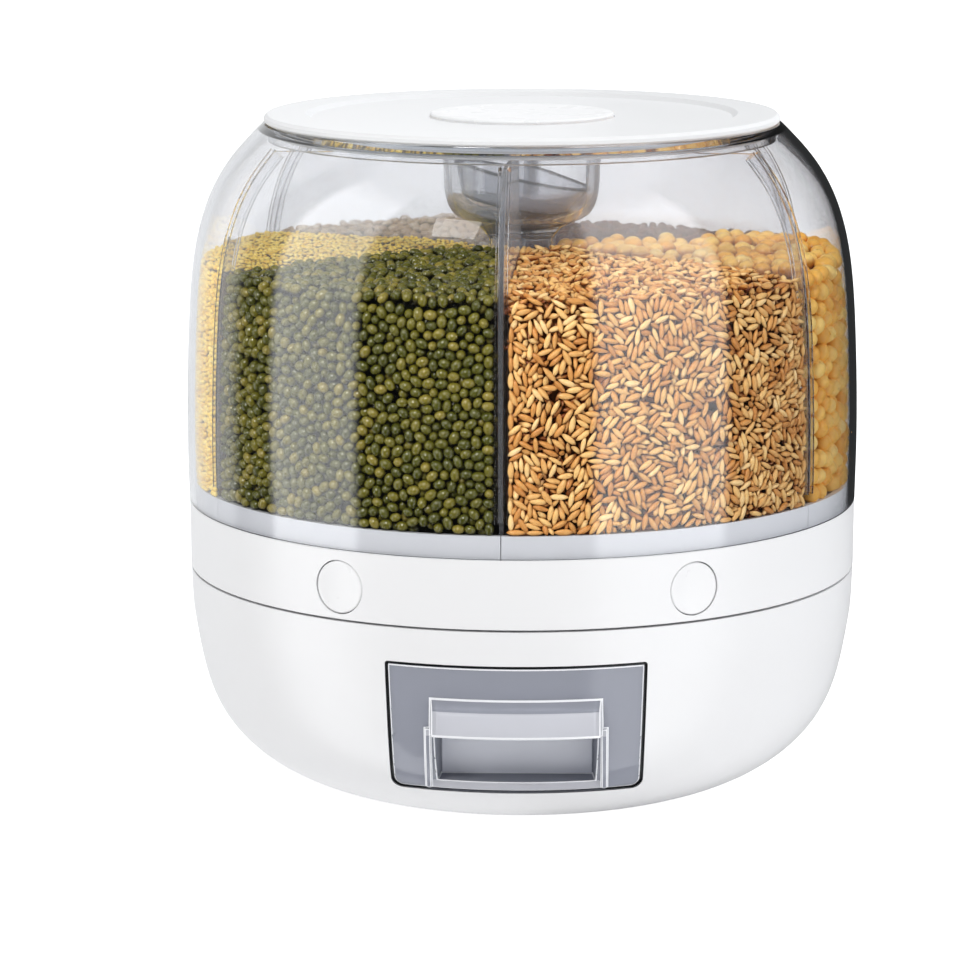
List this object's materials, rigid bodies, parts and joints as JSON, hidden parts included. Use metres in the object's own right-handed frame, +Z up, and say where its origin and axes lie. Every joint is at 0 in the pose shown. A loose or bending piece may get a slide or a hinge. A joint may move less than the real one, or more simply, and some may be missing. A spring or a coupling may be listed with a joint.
{
  "type": "rotating cereal dispenser",
  "caption": "Free-standing turning dispenser: clear domed drum of sector bins with push-button gates on a white ring and bowl base with a smoky catch drawer, lift-off lid and cup.",
  "frame": {"origin": "centre of the round footprint, on the table", "axes": "+Z up along the turning axis, -Y towards the front with the drawer, +X to the right seen from the front"},
  "size_m": [0.25, 0.25, 0.25],
  "materials": {
    "white_body": "satin moulded white",
    "button_white": "satin moulded white",
    "white_inner": "plain moulded",
    "tray_white": "plain moulded, cool white",
    "gate_plastic": "plain moulded",
    "bearing_plastic": "plain moulded",
    "clear_plastic": "clear polished",
    "clear_insert": "clear polished",
    "lid_plastic": "clear, softly frosted",
    "lid_disc": "milky white",
    "smoke_plastic": "smoky translucent",
    "cup_smoke": "dark smoky translucent",
    "seal": "soft silicone",
    "grey_rubber": "matt",
    "steel": "plated",
    "steel_ball": "polished"
  },
  "bodies": {
    "base": {"base_shell": "white_body", "foot_pads": "grey_rubber", "base_deck": "white_inner", "deck_screws": "steel", "spindle_washer": "steel", "spindle_screw": "steel", "outlet_chute": "white_inner", "drawer_rail_left": "white_inner", "drawer_rail_right": "white_inner"},
    "bearing": {"ball_cage": "bearing_plastic", "bearing_balls": "steel_ball"},
    "carousel": {"carousel_base": "white_body", "gate_guides": "white_inner", "hopper_pan_1": "tray_white", "hopper_pan_2": "tray_white", "hopper_pan_3": "tray_white", "hopper_pan_4": "tray_white", "hopper_pan_5": "tray_white", "hopper_pan_6": "tray_white", "outlet_spouts": "tray_white", "hopper_screws": "steel", "clear_dome": "clear_plastic", "divider_insert": "clear_insert", "gate_spring_1": "steel", "gate_spring_2": "steel", "gate_spring_3": "steel", "gate_spring_4": "steel", "gate_spring_5": "steel", "gate_spring_6": "steel"},
    "drawer": {"drawer_tray": "smoke_plastic", "drawer_front": "smoke_plastic"},
    "lid": {"lid_plate": "lid_plastic", "lid_gasket": "seal", "lid_disc": "lid_disc"},
    "cup": {"measuring_cup": "cup_smoke"},
    "button_1": {"button_cap_1": "button_white", "gate_1": "gate_plastic"},
    "button_2": {"button_cap_2": "button_white", "gate_2": "gate_plastic"},
    "button_3": {"button_cap_3": "button_white", "gate_3": "gate_plastic"},
    "button_4": {"button_cap_4": "button_white", "gate_4": "gate_plastic"},
    "button_5": {"button_cap_5": "button_white", "gate_5": "gate_plastic"},
    "button_6": {"button_cap_6": "button_white", "gate_6": "gate_plastic"}
  },
  "joints": [
    {"name": "carousel_turn", "type": "hinge", "parent": "base", "child": "carousel", "pos_m": [0, 0, 0.084], "axis": [0, 0, 1], "continuous": true},
    {"name": "bearing_turn", "type": "hinge", "parent": "base", "child": "bearing", "pos_m": [0, 0, 0.0796], "axis": [0, 0, 1], "continuous": true},
    {"name": "drawer_slide", "type": "slide", "parent": "base", "child": "drawer", "axis": [0, -1, 0], "range_m": [0, 0.08]},
    {"name": "lid_lift", "type": "slide", "parent": "carousel", "child": "lid", "axis": [0, 0, 1], "range_m": [0, 0.13]},
    {"name": "cup_lift", "type": "slide", "parent": "carousel", "child": "cup", "axis": [0, 0, 1], "range_m": [0, 0.08]},
    {"name": "button_1_press", "type": "slide", "parent": "carousel", "child": "button_1", "axis": [-0.5, 0.866, 0], "range_m": [0, 0.012], "stiffness_N_per_m": 150, "springref_m": -0.005, "deforming": ["gate_spring_1"]},
    {"name": "button_2_press", "type": "slide", "parent": "carousel", "child": "button_2", "axis": [-1, 0, 0], "range_m": [0, 0.012], "stiffness_N_per_m": 150, "springref_m": -0.005, "deforming": ["gate_spring_2"]},
    {"name": "button_3_press", "type": "slide", "parent": "carousel", "child": "button_3", "axis": [-0.5, -0.866, 0], "range_m": [0, 0.012], "stiffness_N_per_m": 150, "springref_m": -0.005, "deforming": ["gate_spring_3"]},
    {"name": "button_4_press", "type": "slide", "parent": "carousel", "child": "button_4", "axis": [0.5, -0.866, 0], "range_m": [0, 0.012], "stiffness_N_per_m": 150, "springref_m": -0.005, "deforming": ["gate_spring_4"]},
    {"name": "button_5_press", "type": "slide", "parent": "carousel", "child": "button_5", "axis": [1, 0, 0], "range_m": [0, 0.012], "stiffness_N_per_m": 150, "springref_m": -0.005, "deforming": ["gate_spring_5"]},
    {"name": "button_6_press", "type": "slide", "parent": "carousel", "child": "button_6", "axis": [0.5, 0.866, 0], "range_m": [0, 0.012], "stiffness_N_per_m": 150, "springref_m": -0.005, "deforming": ["gate_spring_6"]}
  ],
  "couplings": [
    {"joint": "bearing_turn", "follows": "carousel_turn", "ratio": 0.5},
    {"joint": "cup_lift", "follows": "lid_lift", "ratio": 0.6}
  ]
}
